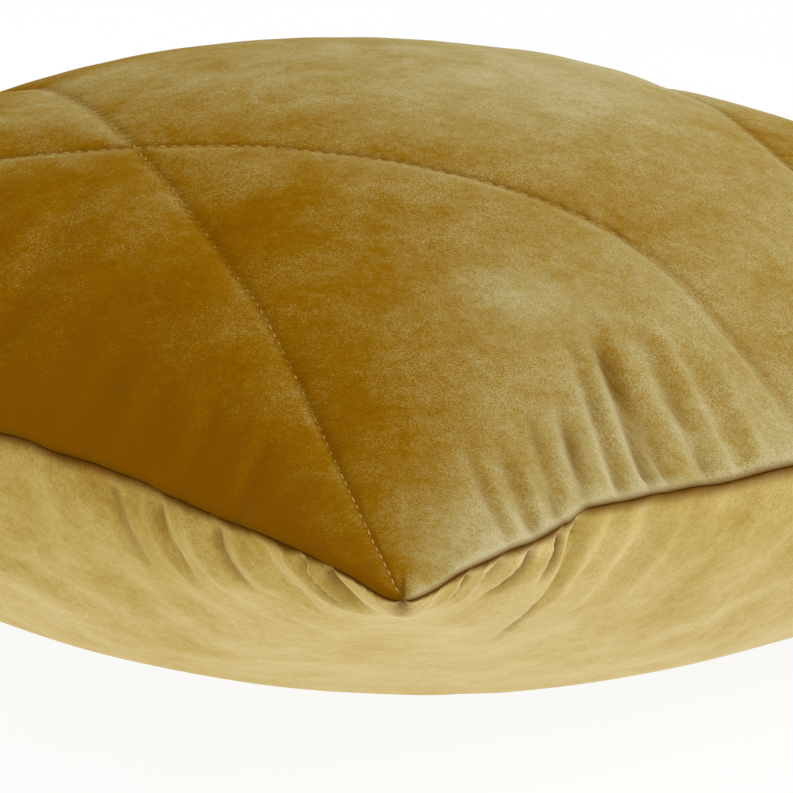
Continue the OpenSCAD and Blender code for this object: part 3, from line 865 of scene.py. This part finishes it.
# Shares of the velvet's tone that come from painted light and shade by the surface's own slope, and from
# the painted attribute of light and shade on the smooth shape with brushed patches
SLOPE_LIGHT_SHARE, LIGHT_AND_BRUSHING_SHARE = 0.32, 0.68
# How much each layer of unevenness adds to the tone, how much painted sheen makes the pile paler at grazing
# angles, and how far along its colours the tone reaches
PATCHES, BRUISES, STROKES = 0.50, 0.85, 0.60
PAINTED_SHEEN_SHARE, REACH = 0.6, 0.75
# Share of the ground colour where the pile parts and where shade is painted
GROUND_AND_SHADE_SHARE = 0.95


def velvet(name, colours, ground_and_shade_colour, light_lean, spread, shift, sheen, speckle):
    """Short-pile velvet. Its tone follows painted light and shade by slope, brushed patches, bruises and a
    painted sheen at grazing angles, and it turns to the ground colour where the pile parts and where shade
    is painted.
    """
    n = Nodes(name)
    # painted light and shade: the tone rises where the surface turns towards the painted light's direction
    split = n.add("ShaderNodeSeparateXYZ")
    n.link(n.coords.outputs["Normal"], split.inputs[0])
    toward = n.maths("MULTIPLY", split.outputs["X"], light_lean[0])
    toward = n.maths("MULTIPLY_ADD", split.outputs["Y"], light_lean[1], toward)
    toward = n.maths("MULTIPLY_ADD", split.outputs["Z"], light_lean[2], toward)
    # the painted attribute: painted light and shade on the smooth shape, with brushed patches
    light_and_brushing = n.add("ShaderNodeAttribute", attribute_name="light_and_brushing")
    painted = n.maths("MULTIPLY", light_and_brushing.outputs["Fac"], LIGHT_AND_BRUSHING_SHARE)
    toward = n.maths("MULTIPLY_ADD", toward, SLOPE_LIGHT_SHARE, painted)
    patches = n.noise(13, detail=3, rough=0.55, warp=0.5)
    bruises = n.noise(42, detail=6, rough=0.68, warp=0.3, vector=n.mapped((1, 1, 1), (0, 0, 0.6)))
    strokes = n.noise(300, detail=4, rough=0.75)
    pile = n.noise(1900, detail=2, rough=0.8)
    crushed = n.ramp(bruises, (0.42, 0.0), (0.60, 1.0))
    grain = n.maths("MULTIPLY_ADD", crushed, speckle, 1.1 * speckle)
    tone = n.maths("MULTIPLY_ADD", toward, spread, shift)
    for layer, amount in ((patches, PATCHES), (bruises, BRUISES), (strokes, STROKES), (pile, grain)):
        tone = n.maths("MULTIPLY_ADD", n.maths("SUBTRACT", layer, 0.5), amount, tone)
    # painted sheen: the pile is painted paler at grazing angles
    facing = n.add("ShaderNodeLayerWeight")
    painted_sheen = n.maths("POWER", facing.outputs["Facing"], 2.5)
    tone = n.maths("MULTIPLY_ADD", painted_sheen, PAINTED_SHEEN_SHARE, tone)
    tone = n.maths("MULTIPLY", tone, REACH)
    stops = [(k / (len(colours) - 1), colour) for k, colour in enumerate(colours)]
    # the ground colour, where the pile parts at the seam and as painted shade in creases and beside the
    # quilting
    ground_and_shade_mask = n.add("ShaderNodeAttribute", attribute_name="ground_and_shade_mask")
    share = n.maths("MULTIPLY", ground_and_shade_mask.outputs["Fac"], GROUND_AND_SHADE_SHARE)
    n.wire("Base Color", n.mix(share, n.ramp(tone, *stops), ground_and_shade_colour))
    n.wire("Roughness", n.maths("MULTIPLY_ADD", bruises, 0.2, 0.7))
    relief = n.bump(bruises, 0.4 * MM, 0.3)
    relief = n.bump(strokes, 0.2 * MM, 0.5, relief)
    n.wire("Normal", n.bump(pile, 0.12 * MM, 0.8, relief))
    n.set(Sheen_Weight=0.08, Sheen_Roughness=0.5, Sheen_Tint=sheen, Specular_IOR_Level=0.0)
    return n.material


def cotton(name, colour, scale=900, tint=0.04):
    """Plain woven cloth: crossed threads in relief, with a little unevenness of colour."""
    n = Nodes(name)
    waves = []
    for direction in ("X", "Y"):
        wave = n.add("ShaderNodeTexWave", wave_type="BANDS", bands_direction=direction)
        wave.inputs["Scale"].default_value = scale / 6.3
        wave.inputs["Distortion"].default_value = 0.6
        n.link(n.coords.outputs["Object"], wave.inputs["Vector"])
        waves.append(wave.outputs["Fac"])
    weave = n.maths("MULTIPLY", waves[0], waves[1])
    cloud = n.noise(30, detail=3)
    dark = tuple(c * (1 - 4 * tint) for c in colour[:3]) + (1,)
    share = n.maths("MULTIPLY_ADD", cloud, 0.5, n.maths("MULTIPLY", weave, 0.5))
    n.wire("Base Color", n.mix(share, dark, colour))
    n.wire("Normal", n.bump(weave, 0.15 * MM, 0.5))
    n.set(Roughness=0.85, Sheen_Weight=0.15, Specular_IOR_Level=0.2)
    return n.material


def fibre(name, colour):
    """Matted filling fibre: fine tangled strands."""
    n = Nodes(name)
    strands = n.noise(260, detail=6, rough=0.7, warp=2.5)
    clumps = n.noise(35, detail=3, warp=0.8)
    dark = tuple(c * 0.82 for c in colour[:3]) + (1,)
    n.wire("Base Color", n.mix(n.ramp(strands, (0.35, 0.0), (0.65, 1.0)), dark, colour))
    n.wire("Normal", n.bump(strands, 0.8 * MM, 0.6, n.bump(clumps, 3 * MM, 0.4)))
    n.set(Roughness=0.95, Sheen_Weight=0.3, Specular_IOR_Level=0.1)
    return n.material


def thread(name, colour):
    """Twisted sewing thread: fine slanted plies."""
    n = Nodes(name)
    ply = n.add("ShaderNodeTexWave", wave_type="BANDS", bands_direction="DIAGONAL")
    ply.inputs["Scale"].default_value = 420
    ply.inputs["Distortion"].default_value = 1.5
    n.link(n.coords.outputs["Object"], ply.inputs["Vector"])
    dark = tuple(c * 0.6 for c in colour[:3]) + (1,)
    fuzz = n.noise(1200, detail=2)
    share = n.maths("MULTIPLY_ADD", fuzz, 0.5, n.maths("MULTIPLY", ply.outputs["Fac"], 0.6))
    n.wire("Base Color", n.mix(share, dark, colour))
    n.wire("Normal", n.bump(ply.outputs["Fac"], 0.08 * MM, 0.6))
    n.set(Roughness=0.7, Specular_IOR_Level=0.15)
    return n.material


def metal(name, colour, rough=0.3):
    """Plated metal with hairline brushing and darker worn patches at random."""
    n = Nodes(name)
    brushed = n.noise(500, detail=4, vector=n.mapped((0.15, 1, 1)))
    stain = n.noise(120, detail=3)
    dark = tuple(c * 0.55 for c in colour[:3]) + (1,)
    n.wire("Base Color", n.mix(n.ramp(stain, (0.3, 0.0), (0.55, 1.0)), dark, colour))
    n.wire("Roughness", n.maths("MULTIPLY_ADD", brushed, 0.25, rough - 0.12))
    n.wire("Normal", n.bump(brushed, 0.03 * MM, 0.5))
    n.set(Metallic=1.0)
    return n.material


def nylon(name, colour):
    """Moulded nylon coil: satin plastic with faint mottling."""
    n = Nodes(name)
    mottle = n.noise(300, detail=3)
    dark = tuple(c * 0.75 for c in colour[:3]) + (1,)
    n.wire("Base Color", n.mix(mottle, dark, colour))
    n.wire("Roughness", n.maths("MULTIPLY_ADD", mottle, 0.2, 0.3))
    n.set(Specular_IOR_Level=0.5)
    return n.material


# Colours of the velvet from painted shade to painted light, the back's a paler lit copy of the front's, and
# of the ground that the pile stands on, which also serves as painted shade
FRONT_SHADE_TO_LIGHT = [
    (0.225, 0.080, 0.000, 1),
    (0.28, 0.128, 0.000, 1),
    (0.36, 0.24, 0.055, 1),
    (0.44, 0.36, 0.15, 1),
    (0.54, 0.47, 0.26, 1),
]
BACK_SHADE_TO_LIGHT = [
    (0.28, 0.14, 0.01, 1),
    (0.43, 0.29, 0.06, 1),
    (0.56, 0.42, 0.14, 1),
    (0.68, 0.54, 0.25, 1),
    (0.76, 0.64, 0.36, 1),
]
FRONT_GROUND_AND_SHADE, BACK_GROUND_AND_SHADE = (0.15, 0.062, 0.001, 1), (0.13, 0.04, 0.002, 1)
materials = {
    "velvet_front": velvet(
        "velvet_front", FRONT_SHADE_TO_LIGHT, FRONT_GROUND_AND_SHADE, PAINTED_LIGHT_FROM[FRONT], 1.15, 0.32, (0.9, 0.55, 0.08, 1), 1.0,
    ),
    "velvet_back": velvet(
        "velvet_back", BACK_SHADE_TO_LIGHT, BACK_GROUND_AND_SHADE, PAINTED_LIGHT_FROM[BACK], 0.5, 0.27, (0.9, 0.65, 0.15, 1), 0.6,
    ),
    "thread": thread("thread", linear(0.86, 0.63, 0.33)),
    "fibre": fibre("fibre", linear(0.95, 0.95, 0.93)),
    "cloth": cotton("cloth", linear(0.93, 0.92, 0.88)),
    "label": cotton("label", linear(0.96, 0.96, 0.95), scale=2500, tint=0.02),
    "zipper_tape": cotton("zipper_tape", linear(0.62, 0.46, 0.16), scale=1400),
    "zipper_coil": nylon("zipper_coil", linear(0.60, 0.43, 0.13)),
    "zipper_metal": metal("zipper_metal", linear(0.80, 0.66, 0.38)),
}


def dress(piece, slot_name):
    piece.data.materials.clear()
    piece.data.materials.append(materials[slot_name])


def finish_piece(piece, slot_name, *nodes, padded=None):
    dress(piece, slot_name)
    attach(piece, BODY)
    if nodes:
        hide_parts(*nodes)


# ---- The pillow -----------------------------------------------------------------------------

# Thickness of the wadding, free and under the stitching, then of the backing and the gap between layers
WADDING, WADDING_PRESSED = 5 * MM, 1.2 * MM
BACKING, LAYER_GAP = 0.5 * MM, 0.3 * MM
# How far each layer stops short of the seam
WADDING_INSET, LINING_INSET = 12 * MM, 14 * MM
UNDER_VELVET = VELVET + LAYER_GAP


def wadding_bottom(u, v):
    return UNDER_VELVET + WADDING - (WADDING - WADDING_PRESSED) * quilting_depth(u, v)[1]


def backing_top(u, v):
    return wadding_bottom(u, v) + LAYER_GAP


def backing_bottom(u, v):
    return backing_top(u, v) + BACKING


finish_piece(cover_piece(FRONT, "cover_front"), "velvet_front", "front_panel", padded=0.8)
finish_piece(cover_piece(BACK, "cover_back"), "velvet_back", "back_panel", padded=0.8)
finish_piece(
    layer_piece("wadding", FRONT, 120, WADDING_INSET, UNDER_VELVET, wadding_bottom),
    "fibre", "quilt_wadding", padded=0.5,
)
lining = layer_piece("quilt_lining", FRONT, 120, LINING_INSET, backing_top, backing_bottom)
finish_piece(lining, "cloth", "quilt_backing")
for number, corner in enumerate(QUILTING, 1):
    finish_piece(
        line_stitches(f"topstitching_{number}", corner, 60 + number), "thread", f"quilting_thread_{number}",
    )
finish_piece(edge_thread("seam_thread"), "thread", "edge_seam_thread")
finish_piece(
    bag_piece("insert_case", 90, 17 * MM, 12.5 * MM, 7 * MM),
    "cloth", "insert_case_front", "insert_case_back", "insert_seam_thread", padded=0.9,
)
finish_piece(
    bag_piece("insert_filling", 60, 24 * MM, 13.6 * MM, 8.1 * MM),
    "fibre", "insert_fill", padded=0.9,
)

NODE_SLOTS = {
    "care_label": "label",
    "zipper_tape_front": "zipper_tape",
    "zipper_tape_back": "zipper_tape",
    "zipper_stitching_front": "thread",
    "zipper_stitching_back": "thread",
    "zipper_coil_front": "zipper_coil",
    "zipper_coil_back": "zipper_coil",
    "zipper_top_stops": "zipper_metal",
    "zipper_bottom_stop": "zipper_metal",
    "zipper_slider": "zipper_metal",
    "zipper_pull": "zipper_metal",
}
SOFT_SLOTS = {
    "front_panel": "velvet_front", "back_panel": "velvet_back", "quilt_wadding": "fibre",
    "quilt_backing": "cloth", "edge_seam_thread": "thread", "insert_case_front": "cloth",
    "insert_case_back": "cloth", "insert_seam_thread": "cloth", "insert_fill": "fibre",
    "quilting_thread_1": "thread", "quilting_thread_2": "thread",
    "quilting_thread_3": "thread", "quilting_thread_4": "thread",
}
for node, slot_name in {**NODE_SLOTS, **SOFT_SLOTS}.items():
    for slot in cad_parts[node].material_slots:
        slot.material = materials[slot_name]

# ---- Stage, light and camera ----------------------------------------------------------------

# Camera: direction, tilt, distance from the near corner, lens in mm, and what it looks at from that corner
ELEVATION, YAW, ROLL_ANGLE = math.radians(11.81), math.radians(43.68), math.radians(-2.3)
DISTANCE = 1.40
LENS = 278.87
AIM_LEFT, AIM_ABOVE = 3.44 * MM, 48.36 * MM


def aim(thing, target):
    direction = Vector(target) - thing.location
    thing.rotation_euler = direction.to_track_quat("-Z", "Y").to_euler()


def set_camera():
    """Looks at a point a little to the left of the seam's near corner and above it."""
    level = math.cos(ELEVATION)
    back = np.array([math.sin(YAW) * level, -math.cos(YAW) * level, math.sin(ELEVATION)])
    right = np.array([math.cos(YAW), math.sin(YAW), 0])
    up = np.cross(back, right)
    corner = np.array([HALF[0], -HALF[1], SEAM_Z - CORNER_DROP])
    place_at = corner + back * DISTANCE - right * AIM_LEFT + up * AIM_ABOVE
    data = bpy.data.cameras.new("camera")
    data.sensor_width = 36
    data.lens = LENS
    data.clip_end = 20
    camera = bpy.data.objects.new("camera", data)
    bpy.context.scene.collection.objects.link(camera)
    turn = Matrix((right, up, back)).transposed().to_4x4()
    tilt = Matrix.Rotation(-ROLL_ANGLE, 4, "Z")
    camera.matrix_world = Matrix.Translation(Vector(place_at)) @ turn @ tilt
    bpy.context.scene.camera = camera


def area_light(name, where, target, size, power, colour=(1, 1, 1)):
    data = bpy.data.lights.new(name, "AREA")
    data.shape = "RECTANGLE"
    data.size, data.size_y = size
    data.energy = power
    data.color = colour
    lamp = bpy.data.objects.new(name, data)
    lamp.location = where
    aim(lamp, target)
    bpy.context.scene.collection.objects.link(lamp)


def set_stage():
    size = 6.0
    mesh = bpy.data.meshes.new("floor")
    corners = [(-size, -size, 0), (size, -size, 0), (size, size, 0), (-size, size, 0)]
    mesh.from_pydata(corners, [], [(0, 1, 2, 3)])
    floor = bpy.data.objects.new("floor", mesh)
    floor.location = (0, 0, -0.5 * MM)
    bpy.context.scene.collection.objects.link(floor)
    n = Nodes("floor")
    dark, pale = linear(0.33, 0.33, 0.33), linear(0.35, 0.35, 0.35)
    n.wire("Base Color", n.ramp(n.noise(3), (0.3, dark), (0.7, pale)))
    n.set(Roughness=0.9, Specular_IOR_Level=0.1, Emission_Strength=0.90, Emission_Color=(1, 1, 1, 1))
    mesh.materials.append(n.material)
    world = bpy.data.worlds.new("world")
    bpy.context.scene.world = world
    world.use_nodes = True
    world.node_tree.nodes["Background"].inputs["Color"].default_value = (1, 1, 1, 1)
    world.node_tree.nodes["Background"].inputs["Strength"].default_value = 0.72


set_stage()
set_camera()
area_light("key", (1.3, 1.0, 1.3), (0, 0, 0.08), (1.2, 1.2), 17)
area_light("front_fill", (0.9, -1.6, 0.5), (0, 0, 0.06), (1.6, 0.9), 3)
bpy.context.scene.view_settings.view_transform = "Standard"
bpy.context.scene.render.film_transparent = False
